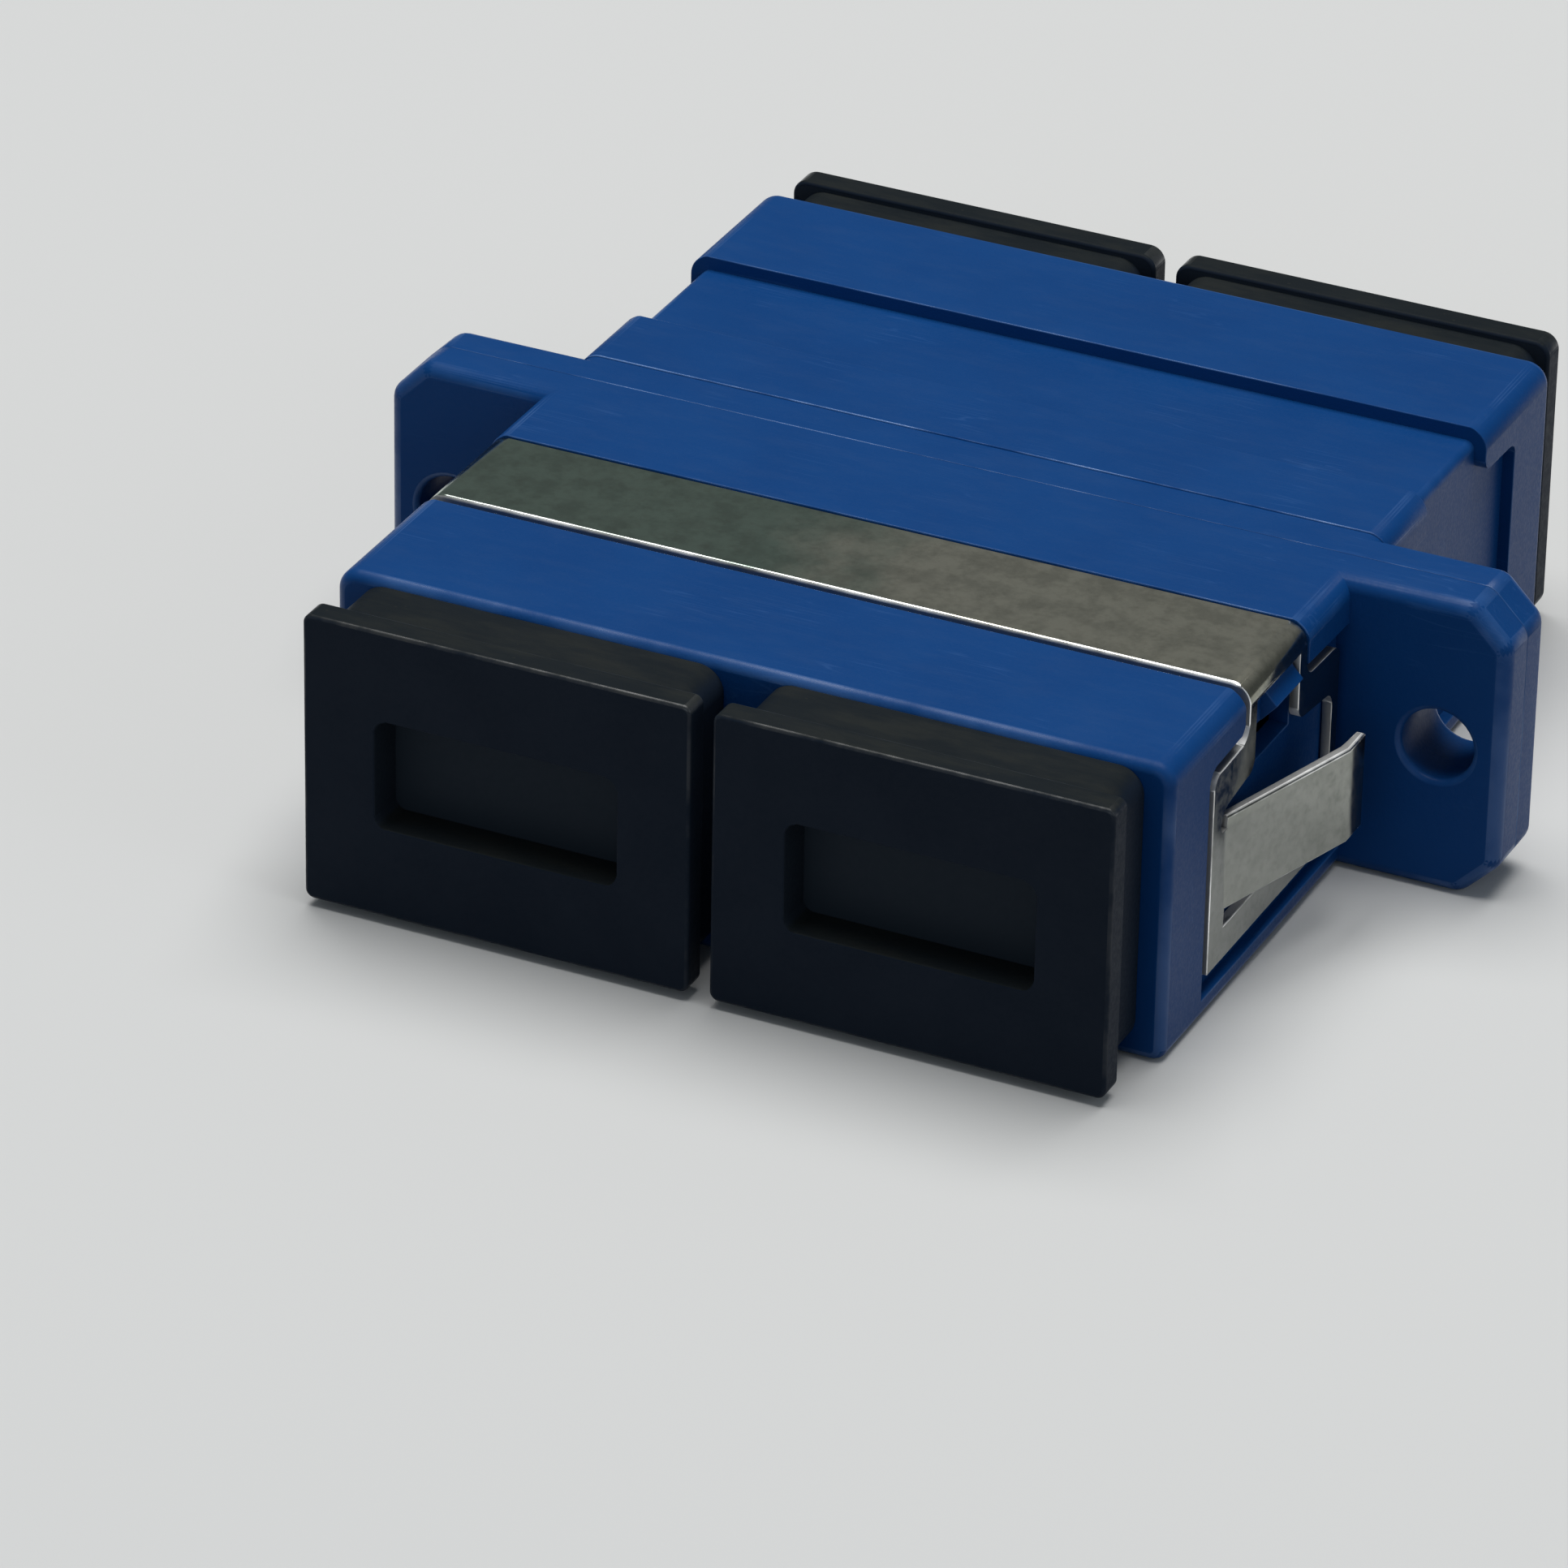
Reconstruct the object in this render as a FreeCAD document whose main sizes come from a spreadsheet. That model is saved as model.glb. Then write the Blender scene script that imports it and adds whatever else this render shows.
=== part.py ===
import FreeCAD
import Part

import os
import re

import Sketcher
from FreeCAD import Placement, Rotation, Vector

# A duplex coupler for square push-pull fibre plugs: two moulded half housings joined at the flange,
# a sheet-steel spring clip, two split sleeves in their latching holders, and four dust caps.
# X runs across the ports, Y from the front ports to the rear ports, Z up.
# The origin is on the underside, in the middle of the flange.

# Driving sizes in millimetres
SIZES = {
    # Ports
    "port_pitch": 12.7,
    "port_width": 11.0,
    "port_height": 7.5,
    "corner_block_width": 0.9,
    "corner_block_height": 0.95,
    "key_slot_width": 2.13,
    "key_slot_depth": 6.6,
    # Housing walls, length and edges
    "side_wall": 1.0,
    "strap_wall": 0.9,
    "key_wall": 0.9,
    "half_length": 13.92,
    "rear_rise": 0.05,
    "strap_edge_radius": 0.68,
    "key_edge_radius": 0.42,
    "end_edge_radius": 0.34,
    # Flange
    "flange_half": 1.4,
    "ear_length": 4.85,
    "ear_chamfer": 1.14,
    "ear_corner_radius": 0.6,
    "ear_edge_radius": 0.45,
    "hole_inset": 2.05,
    "hole_radius": 1.1,
    "hole_rim": 0.2,
    "seam_chamfer": 0.03,
    # Recess for the clip, over the top and down both sides
    "clip_recess": 0.38,
    "recess_inset": 2.65,
    "recess_foot": 0.68,
    "front_widening": 2.4,
    "rear_widening": 2.95,
    "recess_shoulder": 1.3,
    "recess_slope": 0.1,
    "recess_corner": 0.4,
    "nub_length": 1.9,
    "nub_height": 1.1,
    "nub_rise": 0.5,
    "nub_gap": 0.12,
    "nub_shift": 0.48,
    "side_slot_length": 2.4,
    "side_slot_height": 1.14,
    # Spring clip
    "clip_thickness": 0.3,
    "clip_clearance": 0.04,
    "strap_front_gap": 0.4,
    "strap_rear_gap": 0.05,
    "clip_front_gap": 0.42,
    "clip_rear_gap": 0.5,
    "clip_foot": 1.27,
    "clip_shoulder": 1.7,
    "clip_slope": 0.1,
    "clip_corner": 0.5,
    "leg_strip": 0.5,
    "rear_strip": 0.45,
    "root_strip": 1.05,
    "relief_width": 0.45,
    "relief_depth": 0.7,
    "relief_corner": 0.2,
    "arch_strip": 1.15,
    "bottom_strip": 1.05,
    "window_lip": 0.06,
    "window_slope": 0.3,
    "slit_height": 0.55,
    "tongue_drop": 3.46,
    "tongue_spread": 1.55,
    "tongue_end": 1.1,
    "panel_gap": 2.2,
    # Split sleeve
    "ferrule_bore": 2.5,
    "sleeve_wall": 0.35,
    "sleeve_slit": 0.5,
    "sleeve_play": 0.05,
    # Sleeve holder
    "holder_fit": 0.05,
    "holder_plate": 1.2,
    "barrel_wall": 0.6,
    "barrel_length": 6.25,
    "barrel_end_wall": 0.5,
    "ferrule_clearance": 0.1,
    "arm_gap": 0.85,
    "arm_thickness": 0.8,
    "arm_height": 4.8,
    "arm_length": 8.57,
    "hook_rise": 0.65,
    "hook_ramp": 1.5,
    "hook_land": 0.5,
    # Dust cap
    "cap_gap": 0.66,
    "cap_rise": 0.03,
    "cap_foot": 0.26,
    "cap_plate": 0.9,
    "cap_stand": 1.98,
    "rear_cap_stand": 1.05,
    "cap_corner": 0.28,
    "rear_cap_corner": 0.5,
    "cap_edge": 0.12,
    "shoulder_inset": 0.35,
    "shoulder_drop": 0.22,
    "shoulder_lift": 0.25,
    "shoulder_corner": 0.8,
    "plug_fit": 0.1,
    "plug_wall": 0.8,
    "plug_clearance": 0.6,
    "cap_web": 1.0,
    "finger_width": 7.55,
    "finger_height": 3.4,
    "finger_depth": 1.3,
    "finger_corner": 0.35,
}

# Places and sizes that follow from the driving ones
DERIVED = {
    "port_axis": "port_pitch / 2",
    "port_axis_height": "key_wall + port_height / 2",
    "half_width": "(port_pitch + port_width) / 2 + side_wall",
    "body_height": "key_wall + port_height + strap_wall",
    "guide_width": "port_width - 2 * corner_block_width",
    "flange_half_width": "half_width + ear_length",
    "hole_axis": "flange_half_width - hole_inset",
    "plate_seat": "holder_plate + holder_fit",
    # Clip recess: X of its side floor, Z of its top floor, Y of its ends
    "side_floor": "half_width - clip_recess",
    "top_floor": "body_height - clip_recess",
    "core_radius": "strap_edge_radius - clip_recess",
    "recess_front": "recess_inset - half_length",
    "channel_front": "recess_front + front_widening",
    "channel_rear": "-flange_half - rear_widening",
    # Clip: outer faces, edges along Y, levels along Z
    "clip_outer": "side_floor + clip_clearance + clip_thickness",
    "clip_top": "top_floor + clip_clearance + clip_thickness",
    "bend_radius": "core_radius + clip_clearance + clip_thickness",
    "strap_front": "channel_front + strap_front_gap",
    "strap_rear": "channel_rear - strap_rear_gap",
    "nub_middle": "(strap_front + strap_rear) / 2 + nub_shift",
    "clip_front": "recess_front + clip_front_gap",
    "clip_rear": "-flange_half - clip_rear_gap",
    "clip_shoulder_level": "body_height - clip_shoulder",
    "window_top": "clip_top - bend_radius - window_lip",
    "arch_level": "clip_shoulder_level - arch_strip",
    "arch_foot": "arch_level - window_slope",
    "window_foot": "clip_foot + bottom_strip",
    "tongue_foot": "window_foot + slit_height",
    "tongue_height": "body_height - tongue_drop - tongue_foot",
    "tongue_root": "clip_front + root_strip",
    "relief_front": "tongue_root - relief_width",
    "relief_foot": "arch_foot - relief_depth",
    "tongue_tip": "-flange_half - panel_gap",
    "tongue_bend": "tongue_tip - tongue_end",
    # Sleeve and holder radii
    "sleeve_radius": "ferrule_bore / 2 + sleeve_wall",
    "sleeve_half_length": "barrel_length - barrel_end_wall - sleeve_play",
    "barrel_bore_radius": "sleeve_radius + sleeve_play",
    "barrel_radius": "barrel_bore_radius + barrel_wall",
    "arm_inner": "barrel_radius + arm_gap",
    "arm_outer": "arm_inner + arm_thickness",
    "hook_tip": "arm_inner - hook_rise",
    # Cap, measured from the port's axis on the end face
    "cap_half_width": "(port_pitch - cap_gap) / 2",
    "cap_top": "body_height + cap_rise - port_axis_height",
    "cap_bottom": "cap_foot - port_axis_height",
    "cap_middle": "(cap_top + cap_bottom) / 2",
    "shoulder_half_width": "cap_half_width - shoulder_inset",
    "shoulder_top": "cap_top - shoulder_drop",
    "shoulder_bottom": "cap_bottom + shoulder_lift",
    "plug_half_width": "guide_width / 2 - plug_fit",
    "plug_half_height": "port_height / 2 - plug_fit",
    "plug_depth": "half_length - arm_length - plug_clearance",
    "hollow_end": "cap_plate - finger_depth - cap_web",
}

CLOSE = 1e-4

doc = FreeCAD.newDocument("Coupler")
sheet = doc.addObject("Spreadsheet::Sheet", "Sizes")
for row, (alias, number) in enumerate(SIZES.items(), start=1):
    sheet.set("A%d" % row, alias)
    sheet.set("B%d" % row, str(number))
    sheet.setAlias("B%d" % row, alias)
doc.recompute()


def formula(text):
    """An expression on the sheet's cells, with every derived name written out."""
    def expand(match):
        name = match.group(0)
        if name in DERIVED:
            return "(" + formula(DERIVED[name]) + ")"
        return "Sizes." + name
    return re.sub(r"[a-z_]+", expand, text)


def value(text):
    """The present number behind a formula."""
    return float(sheet.evalExpression(formula(text)))


def bind(thing, path, text):
    thing.setExpression(path, formula(text))


def origin_plane(body, role):
    return next(item for item in body.Origin.OriginFeatures if item.Role == role)


def new_sketch(body, name, role, lift=None):
    """A sketch on an origin plane of its body, lifted along the plane's normal where a formula is given."""
    sketch = body.newObject("Sketcher::SketchObject", name)
    sketch.AttachmentSupport = (origin_plane(body, role), [""])
    sketch.MapMode = "FlatFace"
    if lift is not None:
        bind(sketch, ".AttachmentOffset.Base.z", lift)
    doc.recompute()
    return sketch


def pin_point(sketch, item, end, across, up):
    """Tie one end of a sketch item to formulas measured from the sketch's origin."""
    for kind, text in (("DistanceX", across), ("DistanceY", up)):
        index = sketch.addConstraint(Sketcher.Constraint(kind, -1, 1, item, end, value(text)))
        bind(sketch, "Constraints[%d]" % index, text)


def outline(sketch, corners):
    """A closed run of straight edges through corners given as pairs of formulas."""
    points = [Vector(value(across), value(up), 0) for across, up in corners]
    first = sketch.GeometryCount
    count = len(points)
    for i in range(count):
        sketch.addGeometry(Part.LineSegment(points[i], points[(i + 1) % count]))
    for i in range(count):
        following = first + (i + 1) % count
        sketch.addConstraint(Sketcher.Constraint("Coincident", first + i, 2, following, 1))
    for i, (across, up) in enumerate(corners):
        pin_point(sketch, first + i, 1, across, up)


def rectangle(sketch, left, right, bottom, top):
    outline(sketch, [(left, bottom), (right, bottom), (right, top), (left, top)])


def circle(sketch, across, up, radius):
    centre = Vector(value(across), value(up), 0)
    item = sketch.addGeometry(Part.Circle(centre, Vector(0, 0, 1), value(radius)))
    pin_point(sketch, item, 3, across, up)
    index = sketch.addConstraint(Sketcher.Constraint("Radius", item, value(radius)))
    bind(sketch, "Constraints[%d]" % index, radius)


def pad(body, sketch, length, backwards=False, both_ways=False):
    """Add the sketch's area, along its normal, against it, or half each way."""
    feature = body.newObject("PartDesign::Pad", sketch.Name + "Pad")
    feature.Profile = sketch
    bind(feature, "Length", length)
    feature.Reversed = backwards
    if both_ways:
        feature.SideType = "Symmetric"
    doc.recompute()
    return feature


def pocket(body, sketch, length=None, along_normal=False):
    """Cut the sketch's area to a depth, or right through both ways; it has to take material away."""
    before = body.Shape.Volume
    feature = body.newObject("PartDesign::Pocket", sketch.Name + "Pocket")
    feature.Profile = sketch
    if length is None:
        feature.SideType = "Symmetric"
        feature.Type = "ThroughAll"
    else:
        bind(feature, "Length", length)
        feature.Reversed = along_normal
    doc.recompute()
    if body.Shape.Volume > before - CLOSE:
        raise RuntimeError(feature.Name + " cuts nothing")
    return feature


def mirrored(body, feature):
    """Repeat a feature on the other side of the body's own YZ plane."""
    copy = body.newObject("PartDesign::Mirrored", feature.Name + "Mirrored")
    copy.Originals = [feature]
    copy.MirrorPlane = (origin_plane(body, "YZ_Plane"), [""])
    body.Tip = copy
    doc.recompute()
    return copy


def middle(edge):
    return edge.valueAt((edge.FirstParameter + edge.LastParameter) / 2)


def runs_along(edge, direction):
    return isinstance(edge.Curve, Part.Line) and abs(edge.Curve.Direction.dot(direction)) > 1 - CLOSE


def near(a, b):
    return abs(a - b) < 10 * CLOSE


def dress_edges(body, kind, name, size_name, size, wanted):
    """Fillet or chamfer the edges of the body's tip that a test picks."""
    base = body.Tip
    names = ["Edge%d" % (i + 1) for i, edge in enumerate(base.Shape.Edges) if wanted(edge)]
    if not names:
        raise RuntimeError(name + " finds no edge")
    feature = body.newObject("PartDesign::" + kind, name)
    feature.Base = (base, names)
    bind(feature, size_name, size)
    body.Tip = feature
    doc.recompute()
    return feature


def round_edges(body, name, radius, wanted):
    return dress_edges(body, "Fillet", name, "Radius", radius, wanted)


def new_body(label):
    body = doc.addObject("PartDesign::Body", label)
    body.Label = label
    return body


def place(thing, across, along, up, turned):
    """Put a piece at its port or end; the rear ones are turned half round about Z."""
    turn = 180 if turned else 0
    thing.Placement = Placement(Vector(0, 0, 0), Rotation(Vector(0, 0, 1), turn))
    bind(thing, ".Placement.Base.x", across)
    bind(thing, ".Placement.Base.y", along)
    bind(thing, ".Placement.Base.z", up)


ALONG_X = Vector(1, 0, 0)
ALONG_Y = Vector(0, 1, 0)
SIDES = (("Left", "-"), ("Right", ""))


# Housings

def port_corners(centre):
    """The port's section: full width between the corner blocks, plug width beside them."""
    wide = "port_width / 2"
    slim = "guide_width / 2"
    low = "key_wall"
    high = "key_wall + port_height"
    low_block = "key_wall + corner_block_height"
    high_block = "key_wall + port_height - corner_block_height"
    right = [(slim, low), (slim, low_block), (wide, low_block),
             (wide, high_block), (slim, high_block), (slim, high)]
    corners = [("%s + %s" % (centre, x), z) for x, z in right]
    return corners + [("%s - %s" % (centre, x), z) for x, z in reversed(right)]


def round_top(body, name, height):
    top = value(height)
    round_edges(body, name, "strap_edge_radius",
                lambda edge: runs_along(edge, ALONG_Y) and near(middle(edge).z, top))


def add_block(body):
    sketch = new_sketch(body, "Block", "XZ_Plane")
    rectangle(sketch, "-half_width", "half_width", "0", "body_height")
    pad(body, sketch, "half_length")
    round_top(body, "StrapEdges", "body_height")
    round_edges(body, "KeyEdges", "key_edge_radius",
                lambda edge: runs_along(edge, ALONG_Y) and near(middle(edge).z, 0))


def raise_top(body):
    """Lift the top behind the flange, which leaves a fine step along the flange's edge."""
    sketch = new_sketch(body, "Lift", "XZ_Plane", "flange_half")
    rectangle(sketch, "-half_width", "half_width", "body_height / 2", "body_height + rear_rise")
    pad(body, sketch, "half_length - flange_half")
    round_top(body, "LiftEdges", "body_height + rear_rise")


def cut_clip_recess(body):
    channel = new_sketch(body, "Channel", "XY_Plane", "body_height + rear_rise")
    rectangle(channel, "-half_width", "half_width", "channel_front", "channel_rear")
    pocket(body, channel, "clip_recess + rear_rise")
    shoulder = "body_height - recess_shoulder"
    shelf = "body_height - recess_shoulder - recess_slope"
    side_outline = [
        ("recess_front", "recess_foot"), ("-flange_half", "recess_foot"), ("-flange_half", shelf),
        ("channel_rear", shoulder), ("channel_rear", "body_height"), ("channel_front", "body_height"),
        ("channel_front", shoulder), ("recess_front", shelf),
    ]
    for name, sign in SIDES:
        sketch = new_sketch(body, name + "Recess", "YZ_Plane", sign + "half_width")
        outline(sketch, side_outline)
        pocket(body, sketch, "clip_recess", along_normal=bool(sign))
    floor_x, floor_z = value("side_floor"), value("top_floor")
    round_edges(body, "ChannelCorners", "core_radius",
                lambda edge: runs_along(edge, ALONG_Y) and near(abs(middle(edge).x), floor_x)
                and near(middle(edge).z, floor_z))
    step_y = (value("channel_front"), value("recess_front"))
    step_z = (value(shoulder), value(shelf))
    round_edges(body, "RecessCorners", "recess_corner",
                lambda edge: runs_along(edge, ALONG_X)
                and any(near(middle(edge).y, y) and near(middle(edge).z, z) for y, z in zip(step_y, step_z)))


def add_nubs(body):
    """A small wedge on each side floor, inside the clip's window, that holds the clip, and a slot below it."""
    top = "window_top - nub_gap"
    foot = "window_top - nub_gap - nub_height"
    for name, sign in SIDES:
        slot = new_sketch(body, name + "Slot", "YZ_Plane", sign + "half_width")
        rectangle(slot, "nub_middle - side_slot_length / 2", "nub_middle + side_slot_length / 2",
                  foot + " - side_slot_height", foot)
        pocket(body, slot, "1.5 * side_wall", along_normal=bool(sign))
        sketch = new_sketch(body, name + "Nub", "XZ_Plane", "-nub_middle")
        inner = sign + "side_floor"
        outer = "%s(side_floor + nub_rise)" % sign
        outline(sketch, [(inner, top), (outer, top + " - nub_height / 2"), (inner, foot)])
        pad(body, sketch, "nub_length", both_ways=True)


def make_flange():
    """The flange on its own, with its corners and front edges rounded."""
    body = new_body("flange")
    sketch = new_sketch(body, "Outline", "XZ_Plane")
    end, shy = "flange_half_width", "flange_half_width - ear_chamfer"
    low, high = "ear_chamfer", "body_height - ear_chamfer"
    right = [(shy, "0"), (end, low), (end, high), (shy, "body_height")]
    outline(sketch, right + [("-(%s)" % x, z) for x, z in reversed(right)])
    pad(body, sketch, "flange_half")
    round_edges(body, "EarCorners", "ear_corner_radius", lambda edge: runs_along(edge, ALONG_Y))
    face = -value("flange_half")
    round_edges(body, "EarEdges", "ear_edge_radius",
                lambda edge: near(middle(edge).y, face) and near(edge.BoundBox.YLength, 0))
    return body


def join_flange(body):
    joined = body.newObject("PartDesign::Boolean", "FlangeJoin")
    joined.setObjects([make_flange()])
    joined.Type = "Fuse"
    body.Tip = joined
    doc.recompute()


def cut_ports(body):
    seats = new_sketch(body, "PlateSeats", "XZ_Plane")
    ports = new_sketch(body, "Ports", "XZ_Plane")
    keys = new_sketch(body, "KeySlots", "XY_Plane")
    for _, sign in SIDES:
        centre = sign + "port_axis"
        rectangle(seats, centre + " - port_width / 2", centre + " + port_width / 2",
                  "key_wall", "key_wall + port_height")
        outline(ports, port_corners(centre))
        rectangle(keys, centre + " - key_slot_width / 2", centre + " + key_slot_width / 2",
                  "-half_length", "key_slot_depth - half_length")
    pocket(body, seats, "plate_seat", along_normal=True)
    pocket(body, ports)
    pocket(body, keys, "2 * key_wall", along_normal=True)


def cut_holes(body):
    sketch = new_sketch(body, "Holes", "XZ_Plane")
    for _, sign in SIDES:
        circle(sketch, sign + "hole_axis", "body_height / 2", "hole_radius")
    pocket(body, sketch)
    face = -value("flange_half")
    round_edges(body, "HoleRims", "hole_rim",
                lambda edge: isinstance(edge.Curve, Part.Circle) and near(edge.Curve.Center.y, face)
                and near(edge.Curve.Radius, value("hole_radius")))


def soften_housing(body):
    end, half, top = -value("half_length"), value("half_width"), value("body_height")
    inner_x, inner_z = half - value("side_wall") / 2, top - value("strap_wall") / 2

    def on_end_rim(edge):
        spot = middle(edge)
        outside = abs(spot.x) > inner_x or spot.z > inner_z or near(spot.z, 0)
        return near(spot.y, end) and near(edge.BoundBox.YLength, 0) and outside
    round_edges(body, "EndEdges", "end_edge_radius", on_end_rim)

    def on_seam(edge):
        spot = middle(edge)
        return near(spot.y, 0) and near(edge.BoundBox.YLength, 0) and (near(spot.z, 0) or near(spot.z, top))
    dress_edges(body, "Chamfer", "SeamEdges", "Size", "seam_chamfer", on_seam)


def make_housing(label, rear):
    body = new_body(label)
    add_block(body)
    if rear:
        raise_top(body)
    cut_clip_recess(body)
    join_flange(body)
    cut_ports(body)
    if not rear:
        add_nubs(body)
    cut_holes(body)
    soften_housing(body)
    place(body, "0", "0", "0", rear)
    return body


# Spring clip

def add_sheet(body):
    """A bent sheet: over the top and down both sides, with round bends."""
    outer = new_sketch(body, "Sheet", "XZ_Plane", "-clip_rear")
    rectangle(outer, "-clip_outer", "clip_outer", "clip_foot", "clip_top")
    pad(body, outer, "clip_rear - clip_front")
    top = value("clip_top")
    round_edges(body, "OuterBends", "bend_radius",
                lambda edge: runs_along(edge, ALONG_Y) and near(middle(edge).z, top))
    inner = new_sketch(body, "Inside", "XZ_Plane")
    face, ceiling = "clip_outer - clip_thickness", "clip_top - clip_thickness"
    rectangle(inner, "-(%s)" % face, face, "clip_foot", ceiling)
    pocket(body, inner)
    inner_top = value(ceiling)
    round_edges(body, "InnerBends", "bend_radius - clip_thickness",
                lambda edge: runs_along(edge, ALONG_Y) and near(middle(edge).z, inner_top))


def trim_sheet(body):
    """Narrow the strap against the side frames, and open the window in each side."""
    lower = "clip_shoulder_level - clip_slope"
    trims = new_sketch(body, "Trims", "YZ_Plane")
    outline(trims, [("clip_front", lower), ("strap_front", "clip_shoulder_level"), ("strap_front", "clip_top"),
                    ("clip_front", "clip_top")])
    outline(trims, [("clip_rear", lower), ("clip_rear", "clip_top"), ("strap_rear", "clip_top"),
                    ("strap_rear", "clip_shoulder_level")])
    pocket(body, trims)
    window = new_sketch(body, "Window", "YZ_Plane")
    front, rear = "strap_front + leg_strip", "strap_rear - leg_strip"
    outline(window, [("tongue_root", "window_foot"), ("clip_rear - rear_strip", "window_foot"),
                     ("clip_rear - rear_strip", "arch_foot"), (rear, "arch_level"), (rear, "window_top"),
                     (front, "window_top"), (front, "arch_level"), ("relief_front", "arch_foot"),
                     ("relief_front", "relief_foot"), ("tongue_root", "relief_foot")])
    pocket(body, window)
    spots = [("strap_front", "clip_shoulder_level"), ("clip_front", lower),
             ("strap_rear", "clip_shoulder_level"), ("clip_rear", lower),
             (front, "arch_level"), ("relief_front", "arch_foot"),
             (rear, "arch_level"), ("clip_rear - rear_strip", "arch_foot")]
    places = [(value(y), value(z)) for y, z in spots]
    round_edges(body, "FrameCorners", "clip_corner",
                lambda edge: runs_along(edge, ALONG_X)
                and any(near(middle(edge).y, y) and near(middle(edge).z, z) for y, z in places))
    relief_y, relief_z = value("relief_front"), value("relief_foot")
    round_edges(body, "ReliefCorners", "relief_corner",
                lambda edge: runs_along(edge, ALONG_X) and near(middle(edge).y, relief_y)
                and near(middle(edge).z, relief_z))


def add_tongues(body):
    """A tongue bent out of each window: it springs away from the side, then runs straight to its tip."""
    sketch = new_sketch(body, "Tongue", "XY_Plane", "tongue_foot")
    outer, inner = "clip_outer", "clip_outer - clip_thickness"
    outline(sketch, [(inner, "tongue_root"), (outer, "tongue_root"),
                     (outer + " + tongue_spread", "tongue_bend"), (outer + " + tongue_spread", "tongue_tip"),
                     (inner + " + tongue_spread", "tongue_tip"), (inner + " + tongue_spread", "tongue_bend")])
    mirrored(body, pad(body, sketch, "tongue_height"))


def make_clip():
    body = new_body("spring_clip")
    add_sheet(body)
    trim_sheet(body)
    add_tongues(body)
    place(body, "0", "0", "0", False)
    return body


# Sleeve holders and split sleeves

def make_holder(label, sign, turned):
    """A plate at the flange, half a barrel for the sleeve, and two latch arms that reach towards the port."""
    body = new_body(label)
    plate = new_sketch(body, "Plate", "XZ_Plane")
    half_plate, half_rise = "(port_width / 2 - holder_fit)", "(port_height / 2 - holder_fit)"
    rectangle(plate, "-" + half_plate, half_plate, "-" + half_rise, half_rise)
    pad(body, plate, "holder_plate")
    barrel = new_sketch(body, "Barrel", "XZ_Plane")
    circle(barrel, "0", "0", "barrel_radius")
    pad(body, barrel, "barrel_length")
    bore = new_sketch(body, "SleeveBore", "XZ_Plane")
    circle(bore, "0", "0", "barrel_bore_radius")
    pocket(body, bore, "barrel_length - barrel_end_wall", along_normal=True)
    mouth = new_sketch(body, "FerruleHole", "XZ_Plane")
    circle(mouth, "0", "0", "(ferrule_bore + ferrule_clearance) / 2")
    pocket(body, mouth)
    arm = new_sketch(body, "Arm", "XY_Plane")
    crest = "hook_ramp - arm_length"
    outline(arm, [("arm_inner", "-holder_plate"), ("arm_outer", "-holder_plate"), ("arm_outer", "-arm_length"),
                  ("arm_inner", "-arm_length"), ("hook_tip", crest), ("hook_tip", crest + " + hook_land"),
                  ("arm_inner", crest + " + hook_land + hook_rise")])
    mirrored(body, pad(body, arm, "arm_height", both_ways=True))
    place(body, sign + "port_axis", "0", "port_axis_height", turned)
    return body


def make_sleeve(label, sign):
    """A thin tube along Y, slit along its length, that lines up the two ferrules."""
    tube = doc.addObject("Part::Cylinder", label + "_tube")
    bind(tube, "Radius", "sleeve_radius")
    hole = doc.addObject("Part::Cylinder", label + "_hole")
    bind(hole, "Radius", "ferrule_bore / 2")
    slit = doc.addObject("Part::Box", label + "_slit")
    bind(slit, "Length", "sleeve_slit")
    bind(slit, "Width", "sleeve_radius")
    bind(slit, ".Placement.Base.x", "-sleeve_slit / 2")
    for solid in (tube, hole, slit):
        bind(solid, "Height", "2 * sleeve_half_length")
        bind(solid, ".Placement.Base.z", "-sleeve_half_length")
    ring = doc.addObject("Part::Cut", label + "_ring")
    ring.Base = tube
    ring.Tool = hole
    sleeve = doc.addObject("Part::Cut", label)
    sleeve.Base = ring
    sleeve.Tool = slit
    sleeve.Label = label
    sleeve.Placement = Placement(Vector(0, 0, 0), Rotation(ALONG_X, 90))
    bind(sleeve, ".Placement.Base.x", sign + "port_axis")
    bind(sleeve, ".Placement.Base.z", "port_axis_height")
    doc.recompute()
    return sleeve


# Dust caps

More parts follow.
